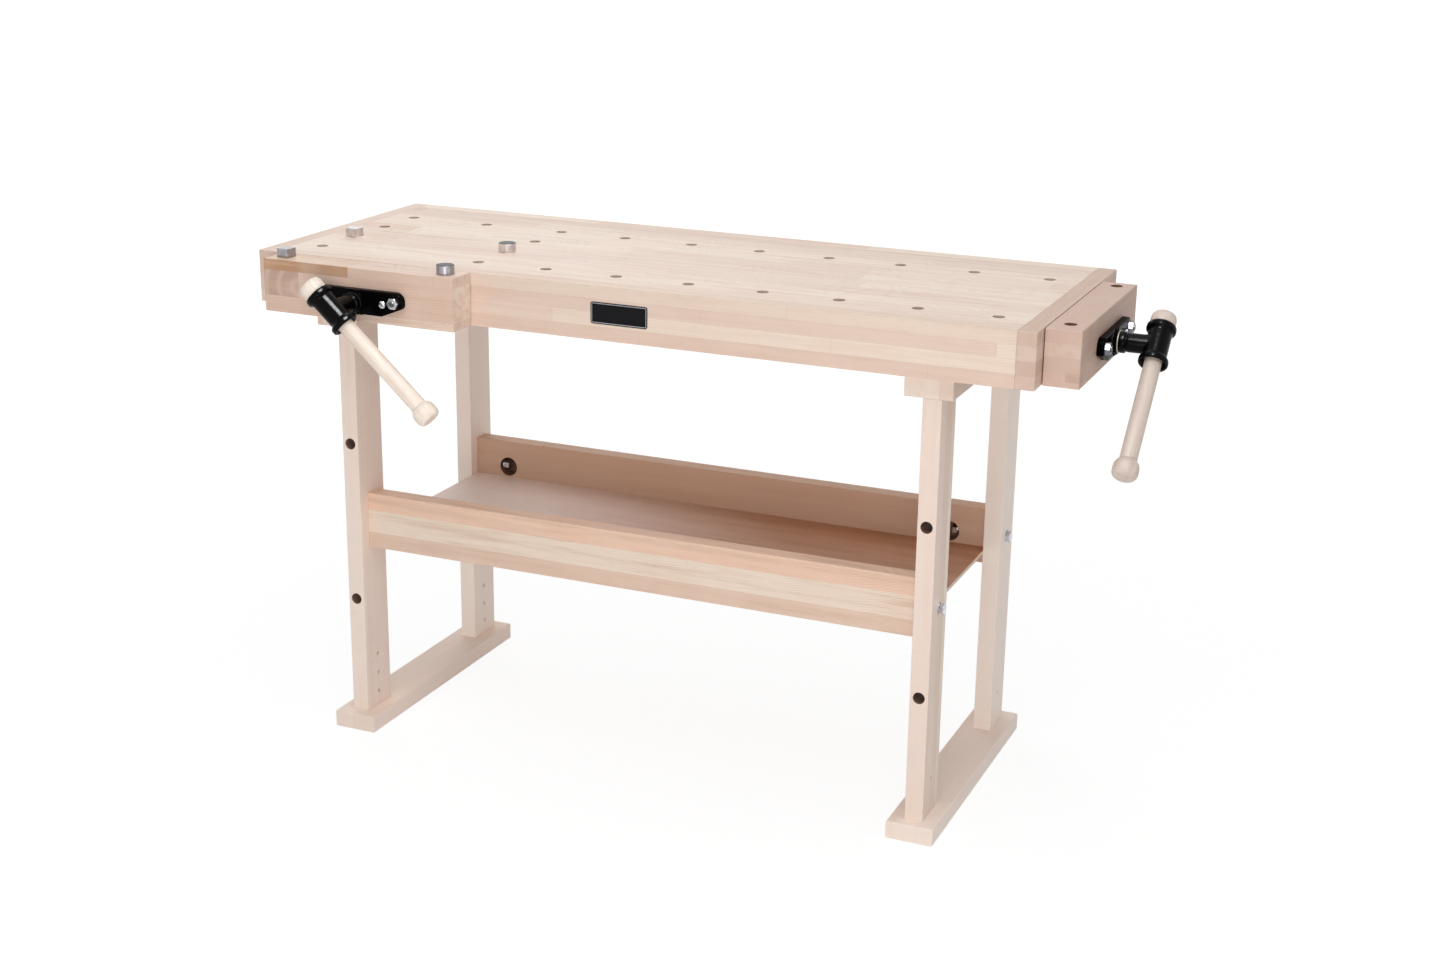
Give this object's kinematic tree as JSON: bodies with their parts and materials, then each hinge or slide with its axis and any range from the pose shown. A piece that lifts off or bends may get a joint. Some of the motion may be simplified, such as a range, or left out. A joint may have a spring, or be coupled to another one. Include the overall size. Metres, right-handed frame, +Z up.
{
  "type": "woodworking bench with vises",
  "caption": "Joiner's bench in laminated beech: thick aproned top with dog holes, framed legs with a shelf, a front vise and an end vise on screw and guide rods.",
  "frame": {"origin": "at floor level, under the middle of the box that holds the whole bench with its vises as they stand", "axes": "+X along the top towards the end vise, +Y from the front vise back across the top, +Z up"},
  "size_m": [1.485, 0.652, 0.8593],
  "materials": {
    "beech": "satin oiled",
    "shelf_plywood": "satin",
    "handle_wood": "smooth satin",
    "dowel_wood": "matte",
    "black_enamel": "gloss enamel",
    "black_casting": "satin enamel",
    "bright_steel": "machined",
    "polished_steel": "polished",
    "zinc_plate": "bright zinc",
    "washer_plastic": "satin",
    "nameplate_metal": "satin black with a bright line"
  },
  "bodies": {
    "bench": {"top_slab": "beech", "front_apron": "beech", "back_apron": "beech", "left_end_cap": "beech", "right_end_cap": "beech", "blank_nameplate": "nameplate_metal", "left_foot": "beech", "left_bearer": "beech", "left_front_leg": "beech", "left_back_leg": "beech", "right_foot": "beech", "right_bearer": "beech", "right_front_leg": "beech", "right_back_leg": "beech", "front_rail": "beech", "back_rail": "beech", "shelf": "shelf_plywood", "packing_blocks": "beech", "leg_dowels": "dowel_wood", "rail_dowels": "dowel_wood", "rail_bolts": "zinc_plate", "rail_washers": "zinc_plate", "rail_nuts": "zinc_plate", "top_screws": "zinc_plate", "front_nut_plate": "black_casting", "front_plate_screws": "zinc_plate", "end_nut_plate": "black_casting", "end_plate_screws": "zinc_plate"},
    "front_jaw": {"front_jaw": "beech", "front_vise_flange": "black_enamel", "front_guide_rods": "bright_steel", "front_rod_nuts": "zinc_plate", "front_flange_screws": "zinc_plate", "front_rod_tie": "black_casting"},
    "front_screw": {"front_spindle": "bright_steel", "front_hub": "black_enamel", "front_thrust_washer": "washer_plastic", "front_retaining_collar": "bright_steel", "front_screw_pins": "bright_steel"},
    "front_handle": {"front_handle_bar": "handle_wood", "front_handle_knobs": "handle_wood"},
    "end_jaw": {"end_jaw": "beech", "end_vise_flange": "black_enamel", "end_guide_rods": "bright_steel", "end_rod_nuts": "zinc_plate", "end_flange_screws": "zinc_plate", "end_rod_tie": "black_casting"},
    "end_screw": {"end_spindle": "bright_steel", "end_hub": "black_enamel", "end_thrust_washer": "washer_plastic", "end_retaining_collar": "bright_steel", "end_screw_pins": "bright_steel"},
    "end_handle": {"end_handle_bar": "handle_wood", "end_handle_knobs": "handle_wood"},
    "square_dog_on_top_body": {"square_dog_on_top": "polished_steel"},
    "round_dog_on_top_body": {"round_dog_on_top": "polished_steel"},
    "square_dog_on_jaw_body": {"square_dog_on_jaw": "polished_steel"},
    "round_dog_on_jaw_body": {"round_dog_on_jaw": "polished_steel"}
  },
  "joints": [
    {"name": "front_jaw_slide", "type": "slide", "parent": "bench", "child": "front_jaw", "axis": [0, -1, 0], "range_m": [-0.00121, 0.12256]},
    {"name": "front_screw_turn", "type": "hinge", "parent": "front_jaw", "child": "front_screw", "pos_m": [-0.5175, -0.231, 0.7905], "axis": [0, -1, 0], "range_deg": [-86.4, 8823.6]},
    {"name": "front_handle_slide", "type": "slide", "parent": "front_screw", "child": "front_handle", "axis": [-0.7431, 0, 0.6691], "range_m": [0, 0.1803]},
    {"name": "end_jaw_slide", "type": "slide", "parent": "bench", "child": "end_jaw", "axis": [1, 0, 0], "range_m": [-0.00121, 0.12256]},
    {"name": "end_screw_turn", "type": "hinge", "parent": "end_jaw", "child": "end_screw", "pos_m": [0.6475, 0.049, 0.7905], "axis": [1, 0, 0], "range_deg": [-86.4, 8823.6]},
    {"name": "end_handle_slide", "type": "slide", "parent": "end_screw", "child": "end_handle", "axis": [0, 0.7431, 0.6691], "range_m": [0, 0.1803]},
    {"name": "square_dog_top_lift", "type": "slide", "parent": "bench", "child": "square_dog_on_top_body", "axis": [0, 0, 1], "range_m": [0, 0.06]},
    {"name": "round_dog_top_lift", "type": "slide", "parent": "bench", "child": "round_dog_on_top_body", "axis": [0, 0, 1], "range_m": [0, 0.06]},
    {"name": "square_dog_jaw_lift", "type": "slide", "parent": "front_jaw", "child": "square_dog_on_jaw_body", "axis": [0, 0, 1], "range_m": [0, 0.06]},
    {"name": "round_dog_jaw_lift", "type": "slide", "parent": "front_jaw", "child": "round_dog_on_jaw_body", "axis": [0, 0, 1], "range_m": [0, 0.06]}
  ],
  "couplings": [
    {"joint": "front_jaw_slide", "follows": "front_screw_turn", "m_per_rad": 0.00079577},
    {"joint": "end_jaw_slide", "follows": "end_screw_turn", "m_per_rad": 0.00079577}
  ]
}
